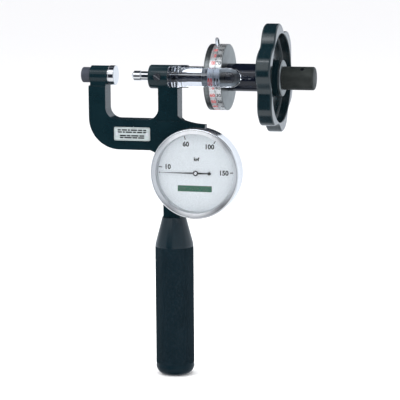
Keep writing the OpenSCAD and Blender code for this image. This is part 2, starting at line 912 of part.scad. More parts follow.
module plunger() {
    color(bright)
    difference() {
        union() {
            translate([plunger_x, plunger_y, plunger_z0])
                cylinder(h = plunger_z1 - plunger_r - plunger_z0, r = plunger_r);
            translate([plunger_x, plunger_y, plunger_z1 - plunger_r]) sphere(plunger_r);
        }
        y_rod(plunger_x, drive_pin_z, plunger_y - plunger_r - cut, plunger_y, drive_pin_r);
    }
}

module drive_pin() {
    color(steel) y_rod(plunger_x, drive_pin_z, sector_y0, plunger_y, drive_pin_r);
}

module plunger_spring() {
    wire_r = 0.18;
    coil_r = 0.9;
    coils = 7;
    pitch = (plunger_z0 - spring_z0 - 2 * wire_r) / (coils - 1);
    color(steel)
    for (i = [0:coils - 1])
        translate([plunger_x, plunger_y, spring_z0 + wire_r + i * pitch])
            rotate_extrude() translate([coil_r, 0]) circle(wire_r, $fn = 16);
}

// ---- handle ----

module handle() {
    arc = [for (a = [0:15:90]) [
        handle_r - handle_edge + handle_edge * cos(a), handle_z0 + handle_edge - handle_edge * sin(a)
    ]];
    color(black_metal)
    translate([stem_x, 0, 0])
    difference() {
        rotate_extrude() polygon(concat(
            [[0, stem_z0], [handle_neck_r, stem_z0], [handle_r, handle_cone_z]],
            arc,
            [[0, handle_z0]]
        ));
        translate([0, 0, stem_z0 - stud_len_down]) cylinder(h = stud_len_down + cut, r = handle_stud_r);
    }
}

module handle_stud() {
    color(steel)
    translate([stem_x, 0, stem_z0 - stud_len_down])
        cylinder(h = stud_len_down + stud_len_up, r = handle_stud_r);
}

frame();
anvil();
anvil_knob();
nameplate();
nameplate_rivets();
guide_screw();
barrel();
lead_nut();
magnifier_collar();
magnifier_stud();
magnifier();
collar_screw();
spindle();
indenter_holder();
indenter_point();
thrust_ball();
retaining_pin();
lead_screw();
thimble();
handwheel();
hub_ring();
speed_knob();
knob_set_screw();
drum();
drum_pin();
drum_spring_ring();
gauge_case();
gauge_screws();
movement_base();
movement_bridge();
movement_pillars();
gauge_bezel();
gauge_glass();
dial_ring();
gauge_dial();
pointer();
pointer_arbor();
hairspring();
sector_gear();
sector_arbor();
plunger_guide();
plunger();
drive_pin();
plunger_spring();
handle();
handle_stud();
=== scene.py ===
"""Looks of a hand-held C-frame hardness tester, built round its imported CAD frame. Metres, +Z up.

+X runs along the screw from the anvil to the handwheel, and the dial faces -Y.
"""
import json
import math

import bmesh
import bpy
from mathutils import Matrix, Vector


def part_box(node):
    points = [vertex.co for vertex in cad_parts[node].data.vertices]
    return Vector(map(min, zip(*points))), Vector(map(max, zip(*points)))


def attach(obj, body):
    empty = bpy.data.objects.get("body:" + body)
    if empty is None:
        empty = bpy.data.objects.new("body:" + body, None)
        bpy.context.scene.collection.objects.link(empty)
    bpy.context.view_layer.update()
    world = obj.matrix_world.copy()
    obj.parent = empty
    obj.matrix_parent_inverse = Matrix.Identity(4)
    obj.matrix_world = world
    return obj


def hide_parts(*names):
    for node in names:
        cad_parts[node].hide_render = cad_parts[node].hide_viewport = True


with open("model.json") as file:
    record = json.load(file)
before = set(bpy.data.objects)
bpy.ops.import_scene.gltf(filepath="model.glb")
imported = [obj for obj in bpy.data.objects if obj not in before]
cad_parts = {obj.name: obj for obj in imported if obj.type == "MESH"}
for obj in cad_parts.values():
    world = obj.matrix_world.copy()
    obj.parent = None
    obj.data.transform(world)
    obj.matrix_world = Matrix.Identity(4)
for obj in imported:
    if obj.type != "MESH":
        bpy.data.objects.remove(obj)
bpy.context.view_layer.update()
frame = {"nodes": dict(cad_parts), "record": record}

MM = 0.001


# ---- places, read from the frame ----

def span(node, axis):
    """Lowest and highest value of a CAD node along axis 0, 1 or 2."""
    low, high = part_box(node)
    return low[axis], high[axis]


def middle(node):
    low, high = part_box(node)
    return (low + high) / 2


SCREW = Vector((0, 0, 0))
GAUGE = Vector((middle("gauge_bezel").x, 0, middle("gauge_bezel").z))
GRIP = Vector((middle("handle").x, 0, 0))
ROD = middle("magnifier")
FLOOR_Z = span("handle", 2)[0]


# ---- camera ----

def add_camera():
    azimuth, elevation, roll = (math.radians(a) for a in (15.09, 9.03, -0.37))
    distance = 1.2537
    target = Vector((0.0603, 0, -0.0865))
    back = Vector((
        math.sin(azimuth) * math.cos(elevation),
        -math.cos(azimuth) * math.cos(elevation),
        math.sin(elevation),
    ))
    right = Vector((math.cos(azimuth), math.sin(azimuth), 0))
    up = back.cross(right)
    side = right * math.cos(roll) + up * math.sin(roll)
    top = up * math.cos(roll) - right * math.sin(roll)
    camera_data = bpy.data.cameras.new("camera")
    camera_data.sensor_width = 36
    camera_data.lens = 161.2
    camera_data.clip_end = 50
    camera = bpy.data.objects.new("camera", camera_data)
    bpy.context.scene.collection.objects.link(camera)
    turn = Matrix((side, top, back)).transposed().to_4x4()
    camera.matrix_world = Matrix.Translation(target + back * distance) @ turn
    bpy.context.scene.camera = camera


add_camera()


# ---- materials ----

class Nodes:
    """Short calls for the nodes of one shader tree."""

    def __init__(self, tree):
        self.tree = tree

    def node(self, kind, settings=(), **inputs):
        made = self.tree.nodes.new("ShaderNode" + kind)
        for name, value in dict(settings).items():
            setattr(made, name, value)
        for name, value in inputs.items():
            self.feed(made.inputs[name.replace("_", " ")], value)
        return made

    def feed(self, socket, value):
        if isinstance(value, bpy.types.NodeSocket):
            self.tree.links.new(value, socket)
        else:
            socket.default_value = value

    def maths(self, operation, *values):
        made = self.node("Math", {"operation": operation})
        for socket, value in zip(made.inputs, values):
            self.feed(socket, value)
        return made.outputs[0]

    def ramp(self, value, low, high, to_low=0.0, to_high=1.0):
        """Maps low..high to to_low..to_high, and holds it there."""
        made = self.node("MapRange", Value=value)
        made.inputs["From Min"].default_value = low
        made.inputs["From Max"].default_value = high
        made.inputs["To Min"].default_value = to_low
        made.inputs["To Max"].default_value = to_high
        return made.outputs["Result"]

    def mix(self, share, first, second):
        made = self.node("Mix", {"data_type": "RGBA"})
        for socket, value in zip((made.inputs[0], made.inputs[6], made.inputs[7]), (share, first, second)):
            self.feed(socket, value)
        return made.outputs[2]


class Finish(Nodes):
    """A Principled material."""

    def __init__(self, name, **sockets):
        self.material = bpy.data.materials.new(name)
        self.material.use_nodes = True
        super().__init__(self.material.node_tree)
        self.shader = self.tree.nodes["Principled BSDF"]
        for socket, value in sockets.items():
            self.shader.inputs[socket.replace("_", " ")].default_value = value

    def place(self, stretch=(1, 1, 1)):
        """Object coordinates in metres, stretched."""
        coordinates = self.node("TexCoord").outputs["Object"]
        return self.node("Mapping", Vector=coordinates, Scale=stretch).outputs[0]

    def turned_place(self, axis, centre, stretch):
        """Coordinates that are the same all round an axis: along it, and out from it."""
        apart = self.node("SeparateXYZ", Vector=self.node("TexCoord").outputs["Object"])
        along = apart.outputs[axis]
        across = [
            self.maths("SUBTRACT", apart.outputs[i], centre[i]) for i in range(3) if i != axis
        ]
        squares = [self.maths("MULTIPLY", a, a) for a in across]
        radius = self.maths("SQRT", self.maths("ADD", *squares))
        joined = self.node("CombineXYZ", X=along, Y=radius)
        return self.node("Mapping", Vector=joined.outputs[0], Scale=stretch).outputs[0]

    def noise(self, place, scale, detail=3.0, roughness=0.55):
        made = self.node("TexNoise", Vector=place, Scale=scale, Detail=detail, Roughness=roughness)
        return made.outputs["Fac"]

    def edges(self, radius):
        """About 1 on sharp outer and inner edges and 0 on open faces."""
        rounded = self.node("Bevel", {"samples": 4}, Radius=radius)
        flat = self.node("NewGeometry")
        dot = self.node("VectorMath", {"operation": "DOT_PRODUCT"})
        self.feed(dot.inputs[0], rounded.outputs[0])
        self.feed(dot.inputs[1], flat.outputs["Normal"])
        return self.ramp(dot.outputs["Value"], 0.995, 0.8)

    def set(self, socket, value):
        self.feed(self.shader.inputs[socket], value)

    def bump(self, height, distance, strength=1.0):
        made = self.node("Bump", Height=height, Distance=distance, Strength=strength)
        self.set("Normal", made.outputs[0])


def enamel(name, base, light, roughness, grain_mm=0.35, wear=(0.09, 0.1, 0.11, 1), specular=0.15,
           coat=0.0):
    """Stove enamel: a fine orange peel, faint cloudy colour, and edges rubbed a little lighter."""
    f = Finish(name, Specular_IOR_Level=specular, Coat_Weight=coat, Coat_Roughness=0.12)
    place = f.place()
    cloud = f.noise(place, 60, 4)
    colour = f.mix(f.ramp(cloud, 0.35, 0.65), base, light)
    scuff = f.ramp(f.noise(place, 900, 4), 0.45, 0.7)
    rubbed = f.maths("MULTIPLY", f.edges(0.35 * MM), scuff)
    f.set("Base Color", f.mix(f.maths("MULTIPLY", rubbed, 0.55), colour, wear))
    fine = f.noise(place, 1 / (grain_mm * MM), 2)
    f.set("Roughness", f.ramp(fine, 0.3, 0.7, roughness - 0.05, roughness + 0.06))
    f.bump(fine, 0.02 * MM, 0.5)
    return f.material


def turned_metal(name, colour, dark, roughness, axis=0, centre=SCREW, metallic=1.0, specular=0.5,
                 groove_mm=0.12, depth=0.5):
    """Metal off a lathe: fine rings round the axis, and faint stains."""
    f = Finish(name, Metallic=metallic, Specular_IOR_Level=specular)
    rings = f.noise(f.turned_place(axis, centre, (1, 1, 1)), 1 / (groove_mm * MM), 4, 0.7)
    stain = f.noise(f.place(), 120, 4)
    f.set("Base Color", f.mix(f.ramp(stain, 0.4, 0.75), colour, dark))
    rough = f.ramp(rings, 0.3, 0.7, roughness - 0.04, roughness + 0.05)
    f.set("Roughness", f.maths("ADD", rough, f.ramp(stain, 0.45, 0.8, 0.0, 0.05)))
    f.bump(rings, 0.004 * MM, depth)
    return f.material


def chrome(name, colour=(0.86, 0.87, 0.89, 1), roughness=0.07, metallic=1.0):
    """Polished plate with faint cloudy wiping marks."""
    f = Finish(name, Metallic=metallic)
    wiped = f.noise(f.place((1, 1, 0.3)), 220, 5)
    f.set("Base Color", f.mix(f.ramp(wiped, 0.4, 0.8), colour, (*(0.93 * c for c in colour[:3]), 1)))
    f.set("Roughness", f.ramp(wiped, 0.35, 0.75, roughness, roughness + 0.07))
    f.bump(f.noise(f.place(), 700, 2), 0.002 * MM, 0.4)
    return f.material


def brushed_plate(name):
    """Aluminium sheet brushed along X."""
    f = Finish(name, Metallic=0.25)
    streaks = f.noise(f.place((0.04, 1, 1)), 9000, 4, 0.7)
    stain = f.noise(f.place(), 250, 4)
    f.set("Base Color", f.mix(f.ramp(stain, 0.35, 0.75), (0.5, 0.56, 0.56, 1), (0.4, 0.46, 0.46, 1)))
    f.set("Roughness", f.ramp(streaks, 0.3, 0.7, 0.28, 0.42))
    f.bump(streaks, 0.006 * MM, 0.5)
    return f.material


def phosphated(name, dark, light):
    """Steel with a dull grey-black phosphate coat: matt, grainy, rubbed at the edges."""
    f = Finish(name, Specular_IOR_Level=0.35)
    place = f.place()
    grain = f.noise(place, 3500, 3, 0.7)
    cloud = f.noise(place, 180, 4)
    coat = f.mix(f.ramp(cloud, 0.35, 0.7), dark, light)
    rubbed = f.maths("MULTIPLY", f.edges(0.4 * MM), f.ramp(f.noise(place, 700, 4), 0.45, 0.65))
    f.set("Base Color", f.mix(f.maths("MULTIPLY", rubbed, 0.6), coat, (0.16, 0.16, 0.155, 1)))
    f.set("Roughness", f.ramp(grain, 0.3, 0.7, 0.42, 0.58))
    f.bump(grain, 0.012 * MM, 0.6)
    return f.material


def printed(name, colour, roughness=0.45, metallic=0.0):
    """Ink or enamel paint, with a slightly uneven coat."""
    f = Finish(name, Specular_IOR_Level=0.4, Metallic=metallic)
    coat = f.noise(f.place(), 1200, 3)
    f.set("Base Color", f.mix(f.ramp(coat, 0.3, 0.75), colour, (*(0.8 * c for c in colour[:3]), 1)))
    f.set("Roughness", f.ramp(coat, 0.3, 0.7, roughness - 0.05, roughness + 0.08))
    f.bump(coat, 0.003 * MM, 0.4)
    return f.material


def clear(name, colour, index, roughness):
    """Clear acrylic or glass with faint wiping marks in its polish."""
    f = Finish(name, Transmission_Weight=1.0, IOR=index, Base_Color=colour)
    f.set("Roughness", f.ramp(f.noise(f.place(), 90, 4), 0.4, 0.8, roughness, roughness + 0.03))
    return f.material


FRAME_PAINT = enamel("frame_paint", (0.0022, 0.0105, 0.0145, 1), (0.0035, 0.0135, 0.018, 1), 0.15,
                     specular=0.36)
WHEEL_PAINT = enamel("wheel_paint", (0.0018, 0.009, 0.0125, 1), (0.003, 0.0115, 0.0155, 1), 0.18,
                     specular=0.5, coat=0.7)
KNOB_GREY = phosphated("knob_grey", (0.028, 0.032, 0.045, 1), (0.042, 0.047, 0.062, 1))
GRIP_BASE, GRIP_LIGHT = (0.002, 0.0095, 0.0145, 1), (0.0035, 0.0125, 0.0185, 1)
HANDLE_BLACK = enamel("handle_black", GRIP_BASE, GRIP_LIGHT, 0.3, 0.25, (0.05, 0.065, 0.08, 1),
                      specular=0.12)
CONE_BLACK = enamel("cone_black", GRIP_BASE, GRIP_LIGHT, 0.2, specular=0.5)
BLACK_STEEL = turned_metal("black_steel", (0.003, 0.005, 0.012, 1), (0.005, 0.007, 0.014, 1), 0.09,
                           metallic=0.0, specular=0.5)
PHOSPHATE = phosphated("phosphate_steel", (0.011, 0.0145, 0.0135, 1), (0.02, 0.024, 0.0225, 1))
CHROME = chrome("chrome")
SATIN_CHROME = chrome("satin_chrome", (0.9, 0.91, 0.93, 1), 0.09, 0.93)
BRIGHT_STEEL = turned_metal("bright_steel", (0.7, 0.71, 0.73, 1), (0.55, 0.56, 0.58, 1), 0.2)
BRIGHT_STEEL_Z = turned_metal("bright_steel_z", (0.7, 0.71, 0.73, 1), (0.55, 0.56, 0.58, 1), 0.22,
                              2, GRIP)
DRUM_STEEL = turned_metal("drum_steel", (0.27, 0.29, 0.29, 1), (0.22, 0.24, 0.245, 1), 0.34)
BRONZE = turned_metal("bronze", (0.72, 0.5, 0.22, 1), (0.5, 0.33, 0.14, 1), 0.26, 1, GAUGE)
BRONZE_X = turned_metal("bronze_x", (0.72, 0.5, 0.22, 1), (0.5, 0.33, 0.14, 1), 0.26)
PLATE = brushed_plate("plate_aluminium")
DIAL_WHITE = printed("dial_white", (0.86, 0.9, 0.94, 1), 0.5)
BLACK_INK = printed("black_ink", (0.008, 0.009, 0.011, 1))
RED_INK = printed("red_ink", (0.55, 0.03, 0.025, 1))
GREEN_INK = printed("green_ink", (0.0, 0.11, 0.055, 1))
BAND_WHITE = printed("band_white", (0.8, 0.82, 0.83, 1), 0.3, 0.85)
RING_GREY = printed("ring_grey", (0.62, 0.65, 0.68, 1), 0.35, 0.4)
HAIRLINE = printed("hairline", (0.8, 0.85, 0.9, 1), 0.4)
DIAMOND = turned_metal("diamond", (0.2, 0.22, 0.25, 1), (0.14, 0.15, 0.17, 1), 0.12)
ACRYLIC = clear("acrylic", (0.75, 0.81, 0.9, 1), 1.49, 0.0)
GLASS = clear("gauge_glass", (0.97, 0.985, 0.99, 1), 1.45, 0.0)


# ---- building ----

def add_piece(name, mesh, material, body, stands_for=()):
    """Puts a bmesh or a mesh into the scene as one finished piece."""
    if isinstance(mesh, bmesh.types.BMesh):
        data = bpy.data.meshes.new(name)
        mesh.to_mesh(data)
        mesh.free()
    else:
        data = mesh
    data.name = name
    data.materials.clear()
    data.materials.append(material)
    piece = bpy.data.objects.new(name, data)
    bpy.context.scene.collection.objects.link(piece)
    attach(piece, body)
    if stands_for:
        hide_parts(*stands_for)
    return piece


def smooth(mesh, angle=35):
    """Smooth shading, with edges sharper than the angle kept sharp."""
    for face in mesh.faces:
        face.smooth = True
    for edge in mesh.edges:
        if len(edge.link_faces) == 2:
            edge.smooth = edge.calc_face_angle(0) < math.radians(angle)


def body_of(node):
    for body, nodes in frame["record"]["behaviour"]["bodies"].items():
        if node in nodes:
            return body
    raise KeyError(node)


def cad_mesh(node):
    """A CAD node's mesh with shared corners joined and flat faces made whole."""
    mesh = bmesh.new()
    mesh.from_mesh(frame["nodes"][node].data)
    bmesh.ops.remove_doubles(mesh, verts=mesh.verts, dist=0.001 * MM)
    bmesh.ops.dissolve_limit(mesh, angle_limit=math.radians(0.4), verts=mesh.verts, edges=mesh.edges)
    return mesh


def evaluated_mesh(piece):
    """The mesh a piece has once its modifiers are applied."""
    depsgraph = bpy.context.evaluated_depsgraph_get()
    return bpy.data.meshes.new_from_object(piece.evaluated_get(depsgraph))


def rounded(node, material, width_mm, segments=3, angle=30):
    """A copy of a CAD node with its sharp edges rounded, which stands for it."""
    mesh = cad_mesh(node)
    smooth(mesh, angle)
    piece = add_piece(node + "_finished", mesh, material, body_of(node), [node])
    bevel = piece.modifiers.new("rounding", "BEVEL")
    bevel.width = width_mm * MM
    bevel.segments = segments
    bevel.limit_method = "ANGLE"
    bevel.angle_limit = math.radians(angle)
    bevel.use_clamp_overlap = True
    bevel.harden_normals = True
    bevel.miter_outer = "MITER_ARC"
    piece.data = evaluated_mesh(piece)
    piece.modifiers.clear()
    return piece


def weigh_normals(piece):
    """Shades broad faces flat, so that only the narrow roundings between them bend."""
    weighted = piece.modifiers.new("normals", "WEIGHTED_NORMAL")
    weighted.mode = "FACE_AREA"
    weighted.keep_sharp = True
    piece.data = evaluated_mesh(piece)
    piece.modifiers.clear()


def paint(node, material):
    """Gives a CAD node that stays as it is a finished material."""
    slots = frame["nodes"][node].material_slots
    for slot in slots:
        slot.material = material


def about_screw(along, radius, angle):
    """A point round the screw axis; the angle runs from the front upwards."""
    return Vector((along, -radius * math.cos(angle), radius * math.sin(angle)))


def about_gauge(along, radius, angle):
    """A point round the gauge's axis; the angle runs from +X upwards."""
    return Vector((GAUGE.x + radius * math.cos(angle), along, GAUGE.z + radius * math.sin(angle)))


def turned_ring(points, place=about_screw, segments=128, radius=lambda angle, r: r):
    """A closed ring from profile points of (along, r), where r may vary with the angle."""
    mesh = bmesh.new()
    rings = []
    for i in range(segments):
        angle = 2 * math.pi * i / segments
        rings.append([mesh.verts.new(place(along, radius(angle, r), angle)) for along, r in points])
    for here, there in zip(rings, rings[1:] + rings[:1]):
        for j in range(len(points)):
            k = (j + 1) % len(points)
            mesh.faces.new((here[j], here[k], there[k], there[j]))
    bmesh.ops.recalc_face_normals(mesh, faces=mesh.faces)
    return mesh


def arc(centre, radius, start, end, steps=6):
    """Points on an arc from start to end degrees."""
    return [
        (
            centre[0] + radius * math.cos(math.radians(start + (end - start) * i / steps)),
            centre[1] + radius * math.sin(math.radians(start + (end - start) * i / steps)),
        )
        for i in range(steps + 1)
    ]


def add_box(mesh, low, high):
    """Adds a box to a bmesh and returns its corners."""
    corners = bmesh.ops.create_cube(mesh, size=1)["verts"]
    low, high = Vector(low), Vector(high)
    for corner in corners:
        corner.co = Vector(l + (c + 0.5) * (h - l) for l, c, h in zip(low, corner.co, high))
    return corners


def lettering(text, height, thickness, offset=0.0):
    """A solid text in X and Y, centred on the origin, with its back at Z 0."""
    curve = bpy.data.curves.new("text", "FONT")
    curve.body = text
    curve.size = height * 1.37
    curve.align_x = "CENTER"
    curve.align_y = "CENTER"
    curve.extrude = thickness / 2
    curve.offset = offset
    curve.resolution_u = 4
    holder = bpy.data.objects.new("text", curve)
    bpy.context.scene.collection.objects.link(holder)
    bpy.context.view_layer.update()
    data = evaluated_mesh(holder)
    mesh = bmesh.new()
    mesh.from_mesh(data)
    bmesh.ops.remove_doubles(mesh, verts=mesh.verts, dist=0.001 * MM)
    bmesh.ops.translate(mesh, verts=mesh.verts, vec=(0, 0, thickness / 2))
    bpy.data.objects.remove(holder)
    bpy.data.curves.remove(curve)
    bpy.data.meshes.remove(data)
    return mesh


def join(target, part):
    """Moves all of one bmesh into another."""
    data = bpy.data.meshes.new("part")
    part.to_mesh(data)
    part.free()
    target.from_mesh(data)
    bpy.data.meshes.remove(data)


# ---- frame, anvil and fixed parts ----

rounded("frame", FRAME_PAINT, 0.5)
rounded("anvil", CHROME, 0.2)
rounded("anvil_knob", KNOB_GREY, 0.35)
rounded("guide_screw", BRIGHT_STEEL, 0.15)
rounded("barrel", BLACK_STEEL, 0.3)
rounded("magnifier_collar", BLACK_STEEL, 0.3)
rounded("plunger_guide", BLACK_STEEL, 0.25)
rounded("nameplate_rivets", RING_GREY, 0.15)
rounded("gauge_screws", BLACK_STEEL, 0.2)
for fixed, material in {
    "lead_nut": BRONZE_X, "magnifier_stud": BLACK_STEEL, "collar_screw": BRIGHT_STEEL,
    "handle_stud": BRIGHT_STEEL_Z, "movement_base": BRONZE, "movement_bridge": BRONZE,
    "movement_pillars": BRONZE, "hairspring": BRIGHT_STEEL, "plunger_spring": BRIGHT_STEEL_Z,
}.items():
    paint(fixed, material)


# ---- nameplate ----

def add_nameplate():
    """The plate, a thin printed border, and rows of plain dashes where a maker's words would be."""
    rounded("nameplate", PLATE, 0.08, 2)
    low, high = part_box("nameplate")
    line, ink = 0.16 * MM, 0.015 * MM
    front, inset = low.y - ink, 0.5 * MM
    mesh = bmesh.new()

    def rule(x0, z0, x1, z1):
        add_box(mesh, (x0, front, z0), (x1, low.y, z1))

    left, right, bottom, top = low.x + inset, high.x - inset, low.z + inset, high.z - inset
    rule(left, bottom, right, bottom + line)
    rule(left, top - line, right, top)
    rule(left, bottom + line, left + line, top - line)
    rule(right - line, bottom + line, right, top - line)
    width, height = high.x - low.x, high.z - low.z
    gap, half_dash = 0.6 * MM, 0.5 * MM
    # height up the plate, start across it, and the dashes' relative lengths
    rows = (
        (0.79, 0.1, (3, 5, 2, 6, 4, 3)),
        (0.63, 0.1, (4, 2, 6, 3, 5, 3)),
        (0.37, 0.16, (5, 3, 6, 4)),
        (0.22, 0.16, (3, 6, 4, 5)),
    )
    for share, start, lengths in rows:
        z = low.z + share * height
        x0 = low.x + start * width
        unit = (width * (1 - 2 * start) - gap * (len(lengths) - 1)) / sum(lengths)
        for length in lengths:
            rule(x0, z - half_dash, x0 + length * unit, z + half_dash)
            x0 += length * unit + gap
    add_piece("nameplate_rules", mesh, BLACK_INK, "frame")


add_nameplate()


# ---- spindle ----

rounded("spindle", CHROME, 0.12)
rounded("indenter_holder", CHROME, 0.12)
rounded("indenter_point", DIAMOND, 0.05, 2)
paint("thrust_ball", BRIGHT_STEEL)
paint("retaining_pin", BRIGHT_STEEL)


# ---- screw, thimble, handwheel and knob ----

rounded("lead_screw", BRIGHT_STEEL, 0.15)
rounded("thimble", BLACK_STEEL, 0.35)
rounded("hub_ring", DRUM_STEEL, 0.15)
rounded("speed_knob", PHOSPHATE, 0.25)
rounded("knob_set_screw", BLACK_STEEL, 0.1)


def add_handwheel():
    """The wheel: six lobes with short dips between them, a thick rim, a thin web and a hub."""
    low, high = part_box("handwheel")
    left, right, web = low.x, high.x, low.x + 4 * MM
    lobe_r, dip, recess_r, hub_r, bore_r = (r * MM for r in (37.9, 5.5, 30.4, 12.4, 4))
    edge, inner_edge, fillet = 1.3 * MM, 0.7 * MM, 1.2 * MM
    profile = [(left, bore_r)]
    profile += arc((left + edge, lobe_r - edge), edge, 180, 90)
    profile += arc((right - edge, lobe_r - edge), edge, 90, 0)
    profile += arc((right - inner_edge, recess_r + inner_edge), inner_edge, 0, -90, 4)
    profile += arc((web + fillet, recess_r - fillet), fillet, 90, 180, 4)
    profile += arc((web + fillet, hub_r + fillet), fillet, 180, 270, 4)
    profile += arc((right - 0.4 * MM, hub_r - 0.4 * MM), 0.4 * MM, 90, 0, 3)
    profile += [(right, bore_r)]

    def lobed(angle, r):
        if r < lobe_r - 1.01 * edge:
            return r
        share = (1 + math.cos(6 * (angle - math.radians(46.5)))) / 2
        return r - dip * share ** 1.6

    mesh = turned_ring(profile, segments=240, radius=lobed)
    smooth(mesh)
    weigh_normals(add_piece("handwheel_rim", mesh, WHEEL_PAINT, "screw", ["handwheel"]))


add_handwheel()


# ---- reading drum ----

rounded("drum", DRUM_STEEL, 0.15)
rounded("drum_pin", BRIGHT_STEEL, 0.1)
paint("drum_spring_ring", BRIGHT_STEEL)

DRUM_R = span("drum", 2)[1]
DRUM_X = span("drum", 0)
PITCH_UNITS = 250      # one turn moves the screw 0.5 mm, which is 250 units of the hardness scale


def drum_point(x, along, out):
    """A point on the drum: x on the screw axis, along is the angle from the front upwards."""
    return about_screw(x, DRUM_R + out, along)


def wrap_on_drum(mesh, x, angle):
    """Bends a flat bmesh, drawn in X and Y with Z outwards, round the drum."""
    for vert in mesh.verts:
        vert.co = drum_point(x + vert.co.x, angle + vert.co.y / DRUM_R, vert.co.z)


def add_drum_scale():
    width = DRUM_X[1] - DRUM_X[0]
    tick_x = DRUM_X[0] + 0.06 * width
    bands = {"red": (DRUM_X[0] + 0.31 * width, DRUM_X[0] + 0.63 * width),
             "black": (DRUM_X[0] + 0.655 * width, DRUM_X[0] + 0.965 * width)}
    enamel_out, ink_out, sunk = 0.02 * MM, 0.035 * MM, 0.2 * MM
    for name, (x0, x1) in bands.items():
        ring = turned_ring([(x0, DRUM_R - sunk), (x1, DRUM_R - sunk), (x1, DRUM_R + enamel_out),
                            (x0, DRUM_R + enamel_out)], segments=180)
        smooth(ring)
        add_piece(f"drum_band_{name}", ring, BAND_WHITE, "drum")
    unit = 2 * math.pi / PITCH_UNITS
    zero = math.radians(-14)
    ticks = bmesh.new()
    for i in range(PITCH_UNITS):
        length = (2.1 if i % 10 == 0 else 1.6 if i % 5 == 0 else 1.1) * MM
        half = (0.11 if i % 5 == 0 else 0.075) * MM
        x1 = bands["red"][0] - 0.3 * MM
        flat = bmesh.new()
        add_box(flat, (x1 - length, -half, -sunk), (x1, half, ink_out))
        wrap_on_drum(flat, 0, zero + i * unit)
        join(ticks, flat)
        if i % 10 == 0:
            for x0, x1 in bands.values():
                for start, end in ((x0, x0 + 0.7 * MM), (x1 - 0.7 * MM, x1)):
                    flat = bmesh.new()
                    add_box(flat, (start, -half, -sunk), (end, half, ink_out))
                    wrap_on_drum(flat, 0, zero + (i + 5) * unit)
                    join(ticks, flat)
    add_piece("drum_ticks", ticks, BLACK_INK, "drum")
    for name, material, first, last in (("red", RED_INK, 130, 0), ("black", BLACK_INK, 100, 0)):
        x0, x1 = bands[name]
        figures = bmesh.new()
        for value in range(last, first + 10, 10):
            text = lettering(str(value), 2.6 * MM, 0.015 * MM, 0.09 * MM)
            if value >= 100:
                bmesh.ops.scale(text, verts=text.verts, vec=(0.72, 1, 1))
            bmesh.ops.translate(text, verts=text.verts, vec=(0, 0, enamel_out))
            behind = 30 if name == "black" else 0
            wrap_on_drum(text, (x0 + x1) / 2, zero + (value + behind - 70) * unit)
            join(figures, text)
        add_piece(f"drum_figures_{name}", figures, material, "drum")
    ring = bmesh.new()
    half = 0.11 * MM
    for x in (tick_x, bands["red"][0] - 0.15 * MM, (bands["red"][1] + bands["black"][0]) / 2):
        line = [(x - half, DRUM_R - sunk), (x + half, DRUM_R - sunk),
                (x + half, DRUM_R + ink_out), (x - half, DRUM_R + ink_out)]
        join(ring, turned_ring(line, segments=180))
    smooth(ring)
    add_piece("drum_rings", ring, BLACK_INK, "drum")


add_drum_scale()


# ---- magnifier ----

def add_magnifier():
    rounded("magnifier", ACRYLIC, 0.2, 3, 40)
    radius = 6.55 * MM
    low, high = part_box("magnifier")
    start, end = low.x + 2 * MM, high.x - 22 * MM
    turn = math.radians(18)
    half = 0.09 * MM
    mesh = bmesh.new()
    corners = add_box(mesh, (start, -half, -0.03 * MM), (end, half, 0.03 * MM))
    for corner in corners:
        out, up = radius + corner.co.z, turn + corner.co.y / radius
        corner.co = Vector((corner.co.x, ROD.y - out * math.cos(up), ROD.z + out * math.sin(up)))
    add_piece("magnifier_hairline", mesh, HAIRLINE, "frame")


add_magnifier()


# ---- gauge ----

rounded("gauge_case", CHROME, 0.25)


def add_bezel():
    """The bezel: a rounded edge, a lip that slopes to the glass, and a skirt in the case."""
    front, skirt = span("gauge_bezel", 1)
    back = front + 7.8 * MM
    seat = span("gauge_glass", 1)[0]
    outside = span("gauge_bezel", 2)[1] - GAUGE.z
    lip_y, lip_r, edge = 0.65 * MM, 27.6 * MM, 1.1 * MM
    profile = [(front + lip_y, lip_r)]
    profile += arc((front + edge, outside - edge), edge, 180, 90)
    skirt_r, bore_r = 29.42 * MM, 28.6 * MM
    profile += [(back, outside), (back, skirt_r), (skirt, skirt_r), (skirt, bore_r)]
    profile += [(seat, bore_r), (seat, lip_r)]
    mesh = turned_ring(profile, about_gauge, 160)
    smooth(mesh, 30)
    weigh_normals(add_piece("gauge_bezel_round", mesh, SATIN_CHROME, "bezel", ["gauge_bezel"]))


add_bezel()
rounded("dial_ring", RING_GREY, 0.05, 2)
rounded("gauge_glass", GLASS, 0.1, 2)
rounded("gauge_dial", DIAL_WHITE, 0.05, 2)
rounded("pointer", BLACK_INK, 0.06, 2)
paint("pointer_arbor", BRONZE)
paint("sector_gear", BRONZE)
paint("sector_arbor", BRIGHT_STEEL)

DIAL_Y = span("gauge_dial", 1)[0]
INK = 0.02 * MM
# kgf, and degrees clockwise from the zero at the left
LOADS = {10: 8.6, 60: 72.6, 100: 122, 150: 178}


def on_dial(mesh, x, z, turn=0.0):
    """Stands a flat bmesh, drawn in X and Y, on the dial at x, z from its centre."""
    place = Matrix.Translation((GAUGE.x + x, DIAL_Y, GAUGE.z + z))
    place = place @ Matrix.Rotation(math.radians(90), 4, "X") @ Matrix.Rotation(turn, 4, "Z")
    bmesh.ops.transform(mesh, matrix=place, verts=mesh.verts)


